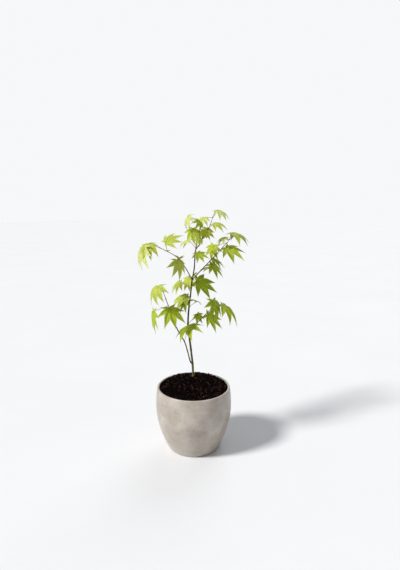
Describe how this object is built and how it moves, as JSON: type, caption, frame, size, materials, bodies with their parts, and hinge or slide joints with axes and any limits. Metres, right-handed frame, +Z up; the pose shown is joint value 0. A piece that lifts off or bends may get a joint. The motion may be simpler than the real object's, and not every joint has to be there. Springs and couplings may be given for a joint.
{
  "type": "potted maple",
  "caption": "Young ornamental maple with drooping palmate leaves on slender boughs, growing from dark compost in a round glazed pot.",
  "frame": {"origin": "centre of the pot's flat underside", "axes": "+Z up along the plant, +X to the right and +Y away from a viewer who faces the plant's front"},
  "size_m": [0.2198, 0.1553, 0.4864],
  "materials": {
    "glaze": "satin glazed stoneware",
    "compost": "loose damp bark compost",
    "bark": "smooth young bark",
    "foliage": "soft matte leaf"
  },
  "bodies": {
    "root": {"pot": "glaze", "soil": "compost", "trunk": "bark", "bough_low_left": "bark", "bough_low_right": "bark", "bough_up_left": "bark", "bough_up_right": "bark", "spray_low_front": "foliage", "spray_low_left": "foliage", "spray_low_right": "foliage", "spray_low_middle": "foliage", "spray_middle_left": "foliage", "spray_middle_front": "foliage", "spray_middle_right": "foliage", "spray_fork_right": "foliage", "spray_fork_left": "foliage", "spray_fork_back": "foliage", "spray_up_left": "foliage", "spray_up_right": "foliage", "spray_top_front": "foliage", "spray_top_right": "foliage", "spray_top_left": "foliage"}
  },
  "joints": []
}
